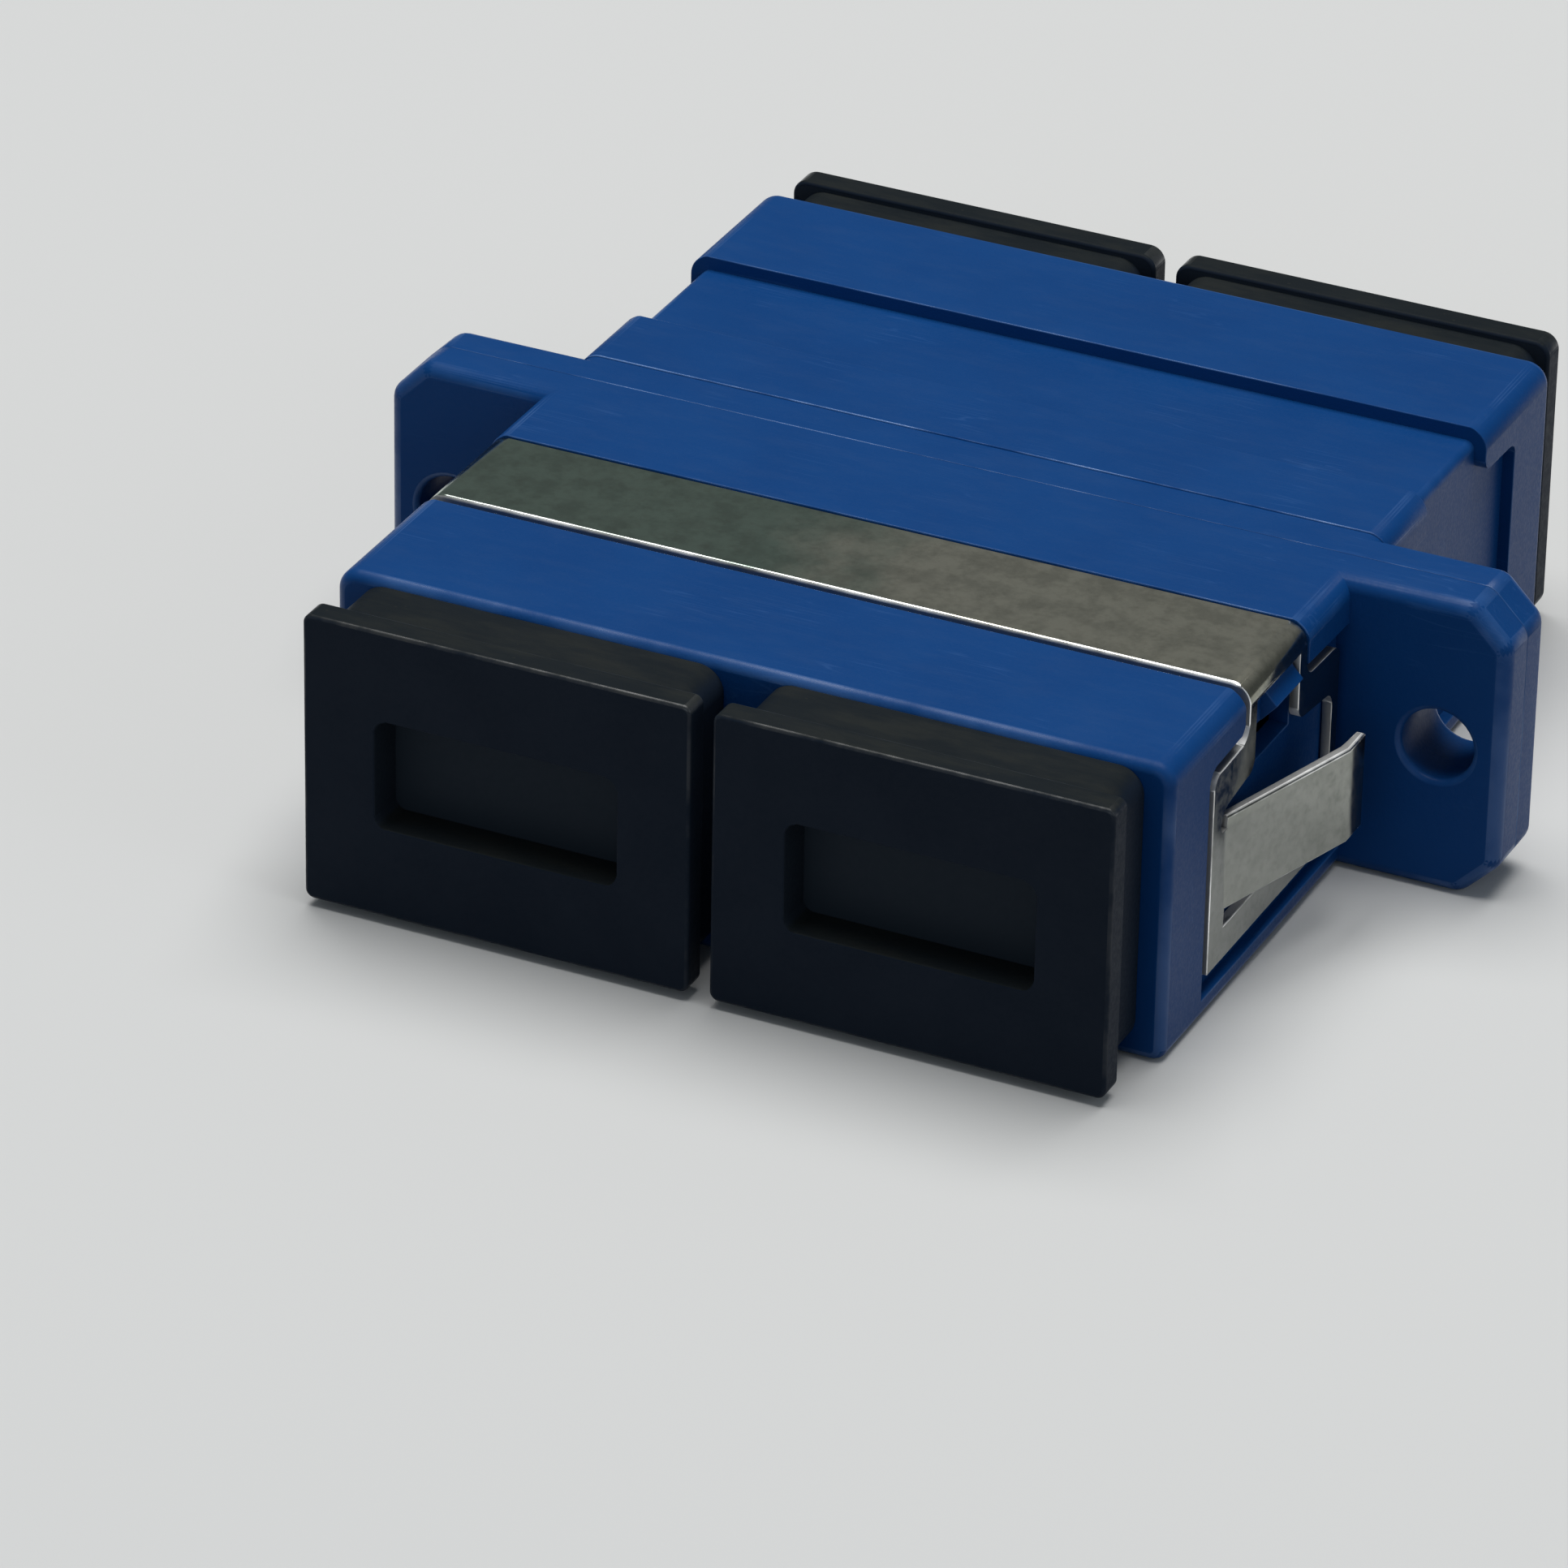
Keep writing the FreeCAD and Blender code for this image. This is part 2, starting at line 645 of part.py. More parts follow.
def make_cap(label, sign, rear):
    """A plate with a finger recess, a narrower shoulder that seats on the end face, and a hollow plug."""
    end, stand, corner = ("", "rear_cap_stand", "rear_cap_corner") if rear else ("-", "cap_stand", "cap_corner")
    body = new_body(label)
    shoulder = new_sketch(body, "Shoulder", "XZ_Plane")
    rectangle(shoulder, "-shoulder_half_width", "shoulder_half_width", "shoulder_bottom", "shoulder_top")
    pad(body, shoulder, stand)
    round_edges(body, "ShoulderCorners", "shoulder_corner", lambda edge: runs_along(edge, ALONG_Y))
    plate = new_sketch(body, "Plate", "XZ_Plane", stand)
    rectangle(plate, "-cap_half_width", "cap_half_width", "cap_bottom", "cap_top")
    pad(body, plate, "cap_plate")
    edge_x = value("cap_half_width")
    round_edges(body, "PlateCorners", corner,
                lambda edge: runs_along(edge, ALONG_Y) and near(abs(middle(edge).x), edge_x))
    front, back = -value(stand + " + cap_plate"), -value(stand)
    round_edges(body, "PlateEdges", "cap_edge",
                lambda edge: near(edge.BoundBox.YLength, 0)
                and (near(middle(edge).y, front) or (near(middle(edge).y, back) and is_plate_rim(edge))))
    plug = new_sketch(body, "Plug", "XZ_Plane")
    rectangle(plug, "-plug_half_width", "plug_half_width", "-plug_half_height", "plug_half_height")
    pad(body, plug, "plug_depth", backwards=True)
    hollow = new_sketch(body, "Hollow", "XZ_Plane", "-plug_depth")
    inner_x, inner_z = "(plug_half_width - plug_wall)", "(plug_half_height - plug_wall)"
    rectangle(hollow, "-" + inner_x, inner_x, "-" + inner_z, inner_z)
    pocket(body, hollow, "plug_depth + hollow_end + " + stand, along_normal=True)
    finger = new_sketch(body, "FingerRecess", "XZ_Plane", stand + " + cap_plate")
    rectangle(finger, "-finger_width / 2", "finger_width / 2",
              "cap_middle - finger_height / 2", "cap_middle + finger_height / 2")
    pocket(body, finger, "finger_depth")
    finger_x = value("finger_width / 2")
    round_edges(body, "FingerCorners", "finger_corner",
                lambda edge: runs_along(edge, ALONG_Y) and near(abs(middle(edge).x), finger_x)
                and middle(edge).y < 0)
    place(body, sign + "port_axis", end + "half_length", "port_axis_height", rear)
    return body


def is_plate_rim(edge):
    """True on the plate's outline, false where the plate meets the narrower shoulder."""
    box = edge.BoundBox
    reach = max(abs(box.XMin), abs(box.XMax))
    on_top = near(box.ZMax, value("cap_top"))
    on_bottom = near(box.ZMin, value("cap_bottom"))
    return near(reach, value("cap_half_width")) or on_top or on_bottom


def build():
    pieces = [make_housing("front_housing", False), make_housing("rear_housing", True), make_clip()]
    for side, sign in (("left", "-"), ("right", "")):
        pieces.append(make_sleeve(side + "_sleeve", sign))
        pieces.append(make_holder("front_%s_holder" % side, sign, False))
        pieces.append(make_holder("rear_%s_holder" % side, sign, True))
        pieces.append(make_cap("front_%s_cap" % side, sign, False))
        pieces.append(make_cap("rear_%s_cap" % side, sign, True))
    return pieces


def export(pieces):
    """Check every object and shape, then write one file for each piece."""
    doc.recompute()
    failed = [item.Name for item in doc.Objects if {"Invalid", "Error"} & set(item.State)]
    for piece in pieces:
        shape = piece.Shape
        if shape.isNull() or not shape.isValid() or len(shape.Solids) != 1:
            failed.append(piece.Label)
    if failed:
        raise RuntimeError("failed: " + ", ".join(failed))
    os.makedirs("parts", exist_ok=True)
    for piece in pieces:
        piece.Shape.exportStep("parts/%s.step" % piece.Label)
        print(piece.Label, round(piece.Shape.Volume, 2))


export(build())
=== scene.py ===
import math

import bmesh
import bpy
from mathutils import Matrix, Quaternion, Vector


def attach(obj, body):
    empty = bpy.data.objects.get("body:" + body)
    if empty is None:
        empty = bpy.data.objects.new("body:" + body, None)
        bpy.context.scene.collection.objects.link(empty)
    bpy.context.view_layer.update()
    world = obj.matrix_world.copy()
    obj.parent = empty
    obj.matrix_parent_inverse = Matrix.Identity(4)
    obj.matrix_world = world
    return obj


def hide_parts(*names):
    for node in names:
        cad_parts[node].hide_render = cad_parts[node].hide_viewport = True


# A duplex fibre coupler dressed for its portrait: moulded blue housings, a rolled steel spring clip,
# blue latching holders, white ceramic sleeves and black dust caps.

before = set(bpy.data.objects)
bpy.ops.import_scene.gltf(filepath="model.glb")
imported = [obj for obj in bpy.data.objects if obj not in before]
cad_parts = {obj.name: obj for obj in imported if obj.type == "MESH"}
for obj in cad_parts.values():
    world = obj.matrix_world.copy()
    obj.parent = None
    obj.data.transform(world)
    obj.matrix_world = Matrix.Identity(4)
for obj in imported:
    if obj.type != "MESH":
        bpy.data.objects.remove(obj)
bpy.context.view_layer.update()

MM = 0.001


def extent(node_name):
    """The lowest and the highest corner of a CAD node."""
    points = [vert.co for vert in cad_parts[node_name].data.vertices]
    low = [min(point[axis] for point in points) for axis in range(3)]
    high = [max(point[axis] for point in points) for axis in range(3)]
    return low, high


# How edges are found and rounded over
MERGE_DISTANCE = 0.001 * MM
FLAT_ANGLE = math.radians(0.5)
SHARP_ANGLE = math.radians(28)
CREASE_ANGLE = math.radians(50)
STRIP_WIDTH = 0.08 * MM
LEANING = 0.99
HOUSING_RIM = 0.035 * MM
HOLDER_RIM = 0.05 * MM
CAP_RIM = 0.07 * MM
SLEEVE_RIM = 0.03 * MM
CLIP_RIM = 0.03 * MM
WIDE_RIM = 0.1 * MM
RIM_STEPS = 2
WIDE_RIM_STEPS = 4

# Values that faces carry for their finish: how far they are rubbed or carry a painted highlight, and how
# far they are marked, where on the caps the mark paints the finger recess lighter as if lit
RIM_LAYER = "rim"
MARK_LAYER = "mark"

# Landmarks of the housings, which meet at Y = 0
HOUSING_END = extent("rear_housing")[1][1]
SEAM_REACH = 0.1 * MM
FLANGE_REAR = 1.4 * MM
STEP_REACH = 0.2 * MM

# Landmarks of the spring clip, whose bends run from BEND_START down to BEND_END
STRAP_TOP = extent("spring_clip")[1][2]
STRAP_LEVEL = STRAP_TOP - 0.06 * MM
UNDER_STRAP = STRAP_TOP - 0.36 * MM
BEND_START = STRAP_TOP - 0.02 * MM
BEND_DARKEST = STRAP_TOP - 0.26 * MM
BEND_FADING = STRAP_TOP - 0.46 * MM
BEND_END = STRAP_TOP - 0.66 * MM
STRAP_HALF_LENGTH = 12.0 * MM
STRAP_FRONT = -8.4 * MM
TONGUE_TOP = 5.84 * MM
CLIP_SIDE = 12.8 * MM
SAME_LEVEL = 0.01 * MM
BEND_LEAN = 0.05

# Landmarks of the caps, whose finger recess is in the middle of the plate
CAP_LOW, CAP_HIGH = extent("front_right_cap")
PORT_AXIS = (CAP_LOW[0] + CAP_HIGH[0]) / 2
FINGER_LEVEL = (CAP_LOW[2] + CAP_HIGH[2]) / 2
FINGER_HALF_WIDTH = 4.2 * MM
FINGER_HALF_HEIGHT = 2.2 * MM
FINGER_DEPTH = 1.3 * MM
OUTER_FLOOR = -CAP_LOW[1] - FINGER_DEPTH + SAME_LEVEL
OUTER_HALF_OF_PLATE = 0.47 * MM
REAR_PLATE = extent("rear_right_cap")[1][1] - OUTER_HALF_OF_PLATE
UPWARD = 0.3

# How far edges are rubbed and painted with a highlight, and how far recess walls are painted lighter, where
# a plain rounded edge has 1
# The seam lines and the small step behind the flange carry a painted highlight
SEAM_PAINTED_HIGHLIGHT = 1.8
STEP_PAINTED_HIGHLIGHT = 4.0
ROUNDED_WEAR_AND_HIGHLIGHT = 0.6
# Upper cap edges carry more painted highlight than side edges, since the light comes from above
UPPER_WEAR_AND_HIGHLIGHT = 1.8
SIDE_WEAR_AND_HIGHLIGHT = 0.5
RECESS_WALL_LIT = 0.6

# Colours of the finishes
HOUSING_DEEP = (0.0022, 0.0430, 0.170, 1)
HOUSING_LIGHT = (0.0030, 0.0475, 0.182, 1)
HOUSING_WORN_AND_HIGHLIGHT = (0.07, 0.17, 0.40, 1)
HOLDER_DEEP = (0.0032, 0.044, 0.18, 1)
HOLDER_LIGHT = (0.0042, 0.052, 0.205, 1)
HOLDER_WORN_AND_HIGHLIGHT = (0.04, 0.13, 0.34, 1)
BLUISH_DUST = (0.10, 0.14, 0.20, 1)
OLIVE_REFLECTION = (0.41, 0.525, 0.42, 1)
BROWN_REFLECTION = (0.92, 0.865, 0.685, 1)
FRAME_SHADE_STEEL = (0.215, 0.222, 0.198, 1)
TARNISH_AND_BEND_SHADE = (0.11, 0.12, 0.10, 1)
SHEARED_STEEL = (0.36, 0.36, 0.35, 1)
BRIGHT_STEEL_AND_GLINT = (0.9, 0.9, 0.88, 1)
CAP_DEEP = (0.0090, 0.0145, 0.0245, 1)
CAP_LIGHT = (0.0120, 0.0180, 0.0290, 1)
CAP_RECESS_LIT = (0.0220, 0.0295, 0.0395, 1)
CAP_WORN_AND_HIGHLIGHT = (0.028, 0.031, 0.033, 1)
DUST_FILM = (0.0100, 0.0125, 0.0120, 1)
DUST_DRIFT = (0.0210, 0.0235, 0.0220, 1)
CERAMIC_DEEP = (0.80, 0.78, 0.72, 1)
CERAMIC_LIGHT = (0.86, 0.85, 0.81, 1)

# Most values of a noise lie between these two
MOST_NOISE = (0.3, 0.7)

# Dust slides off a face whose normal points up by less than the first, and lies on one past the second
DUST_LIES = (0.55, 0.95)

# Turn and squeeze of the two families of scratches
SCRATCH_RUNS = (((0.3, 0.2, 0.5), (90, 2600, 900)), ((0.1, 0.6, -0.7), (110, 2200, 1300)))


# Shader helpers

def add(tree, kind, **settings):
    """A new node with its settings."""
    node = tree.nodes.new(kind)
    for name, setting in settings.items():
        setattr(node, name, setting)
    return node


def feed(tree, source, node, socket):
    """Link an output into a socket, or set the socket where a plain value is given."""
    if isinstance(source, bpy.types.NodeSocket):
        tree.links.new(source, node.inputs[socket])
    else:
        node.inputs[socket].default_value = source


def maths(tree, operation, first, second, clamp=False):
    node = add(tree, "ShaderNodeMath", operation=operation, use_clamp=clamp)
    feed(tree, first, node, 0)
    feed(tree, second, node, 1)
    return node.outputs[0]


def times(tree, first, second):
    return maths(tree, "MULTIPLY", first, second)


def plus(tree, first, second):
    return maths(tree, "ADD", first, second)


def ranged(tree, source, low, high, to_low=0.0, to_high=1.0):
    """Map a value from one range to another, eased and held at both ends."""
    node = add(tree, "ShaderNodeMapRange", interpolation_type="SMOOTHSTEP")
    for socket, setting in (("Value", source), ("From Min", low), ("From Max", high),
                            ("To Min", to_low), ("To Max", to_high)):
        feed(tree, setting, node, socket)
    return node.outputs["Result"]


def mixed(tree, share, first, second):
    """Blend two colours by a share from 0 to 1."""
    node = add(tree, "ShaderNodeMix", data_type="RGBA")
    tree.links.new(share, node.inputs["Factor"])
    for socket, colour in ((6, first), (7, second)):
        feed(tree, colour, node, socket)
    return node.outputs[2]


def noise(tree, place, scale, detail, roughness=0.5):
    node = add(tree, "ShaderNodeTexNoise")
    feed(tree, place, node, "Vector")
    feed(tree, scale, node, "Scale")
    node.inputs["Detail"].default_value = detail
    node.inputs["Roughness"].default_value = roughness
    return node.outputs["Fac"]


def stretched(tree, place, scale, turn=(0.0, 0.0, 0.0)):
    """Coordinates squeezed along some axes, so that a noise on them runs in streaks."""
    node = add(tree, "ShaderNodeMapping")
    feed(tree, place, node, "Vector")
    node.inputs["Rotation"].default_value = turn
    node.inputs["Scale"].default_value = scale
    return node.outputs["Vector"]


def object_place(tree):
    return add(tree, "ShaderNodeTexCoord").outputs["Object"]


def axes(tree, vector):
    """The X, Y and Z of a vector."""
    node = add(tree, "ShaderNodeSeparateXYZ")
    feed(tree, vector, node, "Vector")
    return node.outputs


def face_value(tree, layer):
    """The value that the faces of a piece carry in one of their layers."""
    return add(tree, "ShaderNodeAttribute", attribute_name=layer).outputs["Fac"]


def new_group(name, inputs, outputs):
    """A shader group with float inputs and outputs, and its input and output nodes."""
    group = bpy.data.node_groups.new(name, "ShaderNodeTree")
    for socket in inputs:
        group.interface.new_socket(socket, in_out="INPUT", socket_type="NodeSocketFloat")
    for socket in outputs:
        group.interface.new_socket(socket, in_out="OUTPUT", socket_type="NodeSocketFloat")
    return group, add(group, "NodeGroupInput"), add(group, "NodeGroupOutput")


def use_group(tree, group, **inputs):
    """A group placed in a material with its own values, and the group's outputs."""
    node = add(tree, "ShaderNodeGroup", node_tree=group)
    for socket, setting in inputs.items():
        node.inputs[socket.replace("_", " ")].default_value = setting
    return node.outputs


# Effects that several finishes share

def make_moulded_grain():
    """Fine tool texture and slow clouding of a moulded surface."""
    group, given, result = new_group("moulded_grain", ("Grain Scale", "Cloud Scale"), ("Grain", "Cloud"))
    place = object_place(group)
    grain = noise(group, place, given.outputs["Grain Scale"], detail=3.0, roughness=0.6)
    cloud = noise(group, place, given.outputs["Cloud Scale"], detail=3.0, roughness=0.55)
    feed(group, grain, result, "Grain")
    feed(group, cloud, result, "Cloud")
    return group


def make_rim_wear_and_highlight():
    """Where edges are rubbed and carry a painted highlight: the rounded rims, broken up along their length.
    """
    group, given, result = new_group("rim_wear_and_highlight", ("Amount", "Break Scale"), ("Mask",))
    broken = noise(group, object_place(group), given.outputs["Break Scale"], detail=4.0, roughness=0.65)
    worn_and_highlight = times(group, face_value(group, RIM_LAYER), ranged(group, broken, 0.35, 0.65))
    feed(group, maths(group, "MULTIPLY", worn_and_highlight, given.outputs["Amount"], clamp=True), result, "Mask")
    return group


def make_settled_dust():
    """Dust on faces that look up: where a thin film lies, and a mask of denser drifts and single specks."""
    group, given, result = new_group("settled_dust", ("Amount", "Drift Scale", "Speck Scale"),
                                     ("Mask", "Film"))
    place = object_place(group)
    normal = add(group, "ShaderNodeNewGeometry").outputs["Normal"]
    upward = ranged(group, axes(group, normal)["Z"], *DUST_LIES)
    streaked = stretched(group, place, (0.3, 1.0, 1.0))
    streaks = noise(group, streaked, given.outputs["Drift Scale"], detail=5.0, roughness=0.65)
    drift = ranged(group, streaks, 0.4, 0.75)
    cells = add(group, "ShaderNodeTexVoronoi", feature="F1")
    feed(group, place, cells, "Vector")
    feed(group, given.outputs["Speck Scale"], cells, "Scale")
    speck = ranged(group, cells.outputs["Distance"], 0.16, 0.05)
    rare = ranged(group, noise(group, place, given.outputs["Speck Scale"], detail=0.0), 0.58, 0.66)
    both = maths(group, "MAXIMUM", drift, times(group, speck, rare))
    lying = times(group, upward, both)
    feed(group, maths(group, "MULTIPLY", lying, given.outputs["Amount"], clamp=True), result, "Mask")
    feed(group, upward, result, "Film")
    return group


def make_hair_scratches():
    """Thin scratches in two directions, each only here and there."""
    group, given, result = new_group("hair_scratches", ("Amount", "Width"), ("Mask",))
    place = object_place(group)
    masks = []
    for turn, squeeze in SCRATCH_RUNS:
        line = noise(group, stretched(group, place, squeeze, turn), 1.0, detail=1.0)
        off_line = maths(group, "ABSOLUTE", maths(group, "SUBTRACT", line, 0.5), 0.0)
        masks.append(ranged(group, off_line, given.outputs["Width"], 0.0))
    crossed = maths(group, "MAXIMUM", masks[0], masks[1])
    patch = ranged(group, noise(group, place, 380.0, detail=2.0), 0.52, 0.68)
    kept = times(group, crossed, patch)
    feed(group, maths(group, "MULTIPLY", kept, given.outputs["Amount"], clamp=True), result, "Mask")
    return group


MOULDED_GRAIN = make_moulded_grain()
RIM_WEAR_AND_HIGHLIGHT = make_rim_wear_and_highlight()
SETTLED_DUST = make_settled_dust()
HAIR_SCRATCHES = make_hair_scratches()


# Finishes

def new_finish(name):
    material = bpy.data.materials.new(name)
    material.use_nodes = True
    tree = material.node_tree
    shader = tree.nodes["Principled BSDF"]
    return material, tree, shader


def bump(tree, shader, height, strength, depth):
    node = add(tree, "ShaderNodeBump")
    node.inputs["Strength"].default_value = strength
    node.inputs["Distance"].default_value = depth
    feed(tree, height, node, "Height")
    feed(tree, node.outputs["Normal"], shader, "Normal")


def moulded_blue(name, deep, light, worn_and_highlight, dust_share):
    """Satin blue plastic off a fine-textured tool, a little paler along its edges, partly rubbed and partly
    a painted highlight.
    """
    material, tree, shader = new_finish(name)
    grain = use_group(tree, MOULDED_GRAIN, Grain_Scale=9000.0, Cloud_Scale=240.0)
    rims = use_group(tree, RIM_WEAR_AND_HIGHLIGHT, Amount=0.5, Break_Scale=170.0)
    dust = use_group(tree, SETTLED_DUST, Amount=dust_share, Drift_Scale=1500.0, Speck_Scale=2600.0)
    scratch = use_group(tree, HAIR_SCRATCHES, Amount=0.12, Width=0.012)
    colour = mixed(tree, ranged(tree, grain["Cloud"], *MOST_NOISE), deep, light)
    # Paler edges: rubbed wear and a painted highlight where light catches them
    colour = mixed(tree, rims["Mask"], colour, worn_and_highlight)
    colour = mixed(tree, scratch["Mask"], colour, worn_and_highlight)
    colour = mixed(tree, dust["Mask"], colour, BLUISH_DUST)
    feed(tree, colour, shader, "Base Color")
    satin = ranged(tree, grain["Grain"], *MOST_NOISE, to_low=0.4, to_high=0.5)
    dusty = times(tree, dust["Mask"], 0.25)
    feed(tree, plus(tree, satin, dusty), shader, "Roughness")
    feed(tree, rims["Mask"], shader, "Coat Weight")
    shader.inputs["Coat Roughness"].default_value = 0.22
    shader.inputs["Specular IOR Level"].default_value = 0.1
    bump(tree, shader, grain["Grain"], strength=0.4, depth=0.015 * MM)
    return material


def rolled_steel():
    """Thin spring strip: a painted reflection turning from olive to brown along the strap, side frames and
    bends painted darker as shade, and bright cut edges with a painted glint.
    """
    material, tree, shader = new_finish("rolled_spring_steel")
    place = object_place(tree)
    along = axes(tree, place)
    cloud = noise(tree, place, 420.0, detail=4.0, roughness=0.6)
    stain = noise(tree, place, 1100.0, detail=5.0, roughness=0.65)
    speckle = noise(tree, place, 3600.0, detail=3.0, roughness=0.6)
    sheared = face_value(tree, MARK_LAYER)
    rims = use_group(tree, RIM_WEAR_AND_HIGHLIGHT, Amount=1.0, Break_Scale=300.0)

    # The strap's tint turns from olive to brown along it, a painted reflection that is brighter towards the
    # right, and the frames below the bends are painted darker
    along_strap = ranged(tree, along["X"], -STRAP_HALF_LENGTH, STRAP_HALF_LENGTH)
    turning = plus(tree, times(tree, along_strap, 0.8), times(tree, cloud, 0.4))
    colour = mixed(tree, ranged(tree, turning, 0.46, 0.72), OLIVE_REFLECTION, BROWN_REFLECTION)
    # The side frames are painted darker, standing in for the dark reflections they show
    frame_shade = ranged(tree, along["Z"], BEND_DARKEST, BEND_END)
    colour = mixed(tree, frame_shade, colour, FRAME_SHADE_STEEL)

    # Tarnish lies in spots and in specks, and painted shade darkens the bends
    colour = mixed(tree, ranged(tree, stain, 0.38, 0.66, to_high=0.3), colour, TARNISH_AND_BEND_SHADE)
    colour = mixed(tree, ranged(tree, speckle, 0.4, 0.75, to_high=0.34), colour, TARNISH_AND_BEND_SHADE)
    bend_shade = times(tree, ranged(tree, along["Z"], BEND_START, BEND_DARKEST),
                 ranged(tree, along["Z"], BEND_END, BEND_FADING))
    colour = mixed(tree, times(tree, bend_shade, 0.75), colour, TARNISH_AND_BEND_SHADE)

    # Cut faces are grey and rougher, and rounded edges are bright, partly rubbed steel and partly a painted
    # glint
    colour = mixed(tree, sheared, colour, SHEARED_STEEL)
    colour = mixed(tree, rims["Mask"], colour, BRIGHT_STEEL_AND_GLINT)
    feed(tree, colour, shader, "Base Color")
    shader.inputs["Metallic"].default_value = 1.0
    rolled = ranged(tree, speckle, 0.25, 0.75, to_low=0.12, to_high=0.22)
    cut = plus(tree, rolled, times(tree, sheared, 0.38))
    feed(tree, plus(tree, cut, times(tree, rims["Mask"], 0.1)), shader, "Roughness")
    bump(tree, shader, speckle, strength=0.08, depth=0.006 * MM)
    return material


def cap_rubber():
    """Soft black cap moulding: a finger recess painted greyer as if lit from the front, rubbed edges with a
    painted highlight, grey dust on its upper faces.
    """
    material, tree, shader = new_finish("black_cap_rubber")
    grain = use_group(tree, MOULDED_GRAIN, Grain_Scale=7000.0, Cloud_Scale=300.0)
    rims = use_group(tree, RIM_WEAR_AND_HIGHLIGHT, Amount=0.55, Break_Scale=500.0)
    dust = use_group(tree, SETTLED_DUST, Amount=0.8, Drift_Scale=900.0, Speck_Scale=2600.0)
    colour = mixed(tree, ranged(tree, grain["Cloud"], *MOST_NOISE), CAP_DEEP, CAP_LIGHT)
    # Painted light: the finger recess is lighter, as if lit from the front
    colour = mixed(tree, face_value(tree, MARK_LAYER), colour, CAP_RECESS_LIT)
    # Rubbed edges, with a painted highlight mostly along the upper edges
    colour = mixed(tree, rims["Mask"], colour, CAP_WORN_AND_HIGHLIGHT)
    colour = mixed(tree, times(tree, dust["Film"], 0.7), colour, DUST_FILM)
    colour = mixed(tree, dust["Mask"], colour, DUST_DRIFT)
    feed(tree, colour, shader, "Base Color")
    soft = ranged(tree, grain["Grain"], *MOST_NOISE, to_low=0.44, to_high=0.56)
    dusty = times(tree, dust["Mask"], 0.35)
    feed(tree, plus(tree, soft, dusty), shader, "Roughness")
    feed(tree, rims["Mask"], shader, "Coat Weight")
    shader.inputs["Coat Roughness"].default_value = 0.3
    shader.inputs["Specular IOR Level"].default_value = 0.045
    bump(tree, shader, grain["Grain"], strength=0.25, depth=0.015 * MM)
    return material


def white_ceramic():
    """Ground zirconia: warm white with slow clouding and a fine ground grain."""
    material, tree, shader = new_finish("white_zirconia")
    grain = use_group(tree, MOULDED_GRAIN, Grain_Scale=14000.0, Cloud_Scale=500.0)
    colour = mixed(tree, ranged(tree, grain["Cloud"], *MOST_NOISE), CERAMIC_DEEP, CERAMIC_LIGHT)
    feed(tree, colour, shader, "Base Color")
    ground = ranged(tree, grain["Grain"], *MOST_NOISE, to_low=0.12, to_high=0.22)
    feed(tree, ground, shader, "Roughness")
    bump(tree, shader, grain["Grain"], strength=0.08, depth=0.005 * MM)
    return material


HOUSING_BLUE = moulded_blue("housing_blue", HOUSING_DEEP, HOUSING_LIGHT, HOUSING_WORN_AND_HIGHLIGHT, dust_share=0.04)
HOLDER_BLUE = moulded_blue("holder_blue", HOLDER_DEEP, HOLDER_LIGHT, HOLDER_WORN_AND_HIGHLIGHT, dust_share=0.03)
CLIP_STEEL = rolled_steel()
CAP_BLACK = cap_rubber()
SLEEVE_WHITE = white_ceramic()


# Where pieces are rubbed, marked, or painted with highlights and light

def housing_wear_and_highlight(face):
    """How far a housing's edge is rubbed and painted with a highlight: most along the small step on top,
    behind the flange, whose bright line is a painted highlight.
    """
    spot = face.calc_center_median()
    on_step = abs(spot.y - FLANGE_REAR) < STEP_REACH and spot.z > STRAP_LEVEL
    return STEP_PAINTED_HIGHLIGHT if on_step else 1.0


def catches_light(edge):
    """The strap's front edge and the tongues' upper edges, which are rounded over further."""
    strap = all(vert.co.z > STRAP_LEVEL and vert.co.y < STRAP_FRONT for vert in edge.verts)
    tongue = all(abs(vert.co.z - TONGUE_TOP) < SAME_LEVEL and abs(vert.co.x) > CLIP_SIDE
                 for vert in edge.verts)
    return strap or tongue


def is_sheared(face):
    """1 on a face across the sheet's thickness, left by the punch, which never looks sideways."""
    flat_of_strap = abs(face.normal.z) > LEANING and face.calc_center_median().z > UNDER_STRAP
    return float(abs(face.normal.x) < BEND_LEAN and not flat_of_strap)


def is_finger_recess(spot):
    """True inside and round a cap's finger recess, seen along its port."""
    sideways = abs(abs(spot.x) - PORT_AXIS)
    upwards = abs(spot.z - FINGER_LEVEL)
    return sideways < FINGER_HALF_WIDTH and upwards < FINGER_HALF_HEIGHT


def cap_wear_and_highlight(face):
    """How far a cap's edge is rubbed and painted with a highlight: most along the top, where the light from
    above catches it, not in the recess nor behind a rear plate.
    """
    spot = face.calc_center_median()
    if is_finger_recess(spot) or 0.0 < spot.y < REAR_PLATE:
        return 0.0
    return UPPER_WEAR_AND_HIGHLIGHT if face.normal.z > UPWARD else SIDE_WEAR_AND_HIGHLIGHT


def in_recess(face):
    """1 on the flat bottom of a finger recess, less on its walls, 0 elsewhere: how far the recess is
    painted lighter, as if lit from the front.
    """
    spot = face.calc_center_median()
    if not is_finger_recess(spot) or abs(spot.y) < HOUSING_END:
        return 0.0
    if face.normal.y * spot.y < LEANING * abs(spot.y):
        return RECESS_WALL_LIT
    return float(abs(spot.y) < OUTER_FLOOR)


# Dressed pieces

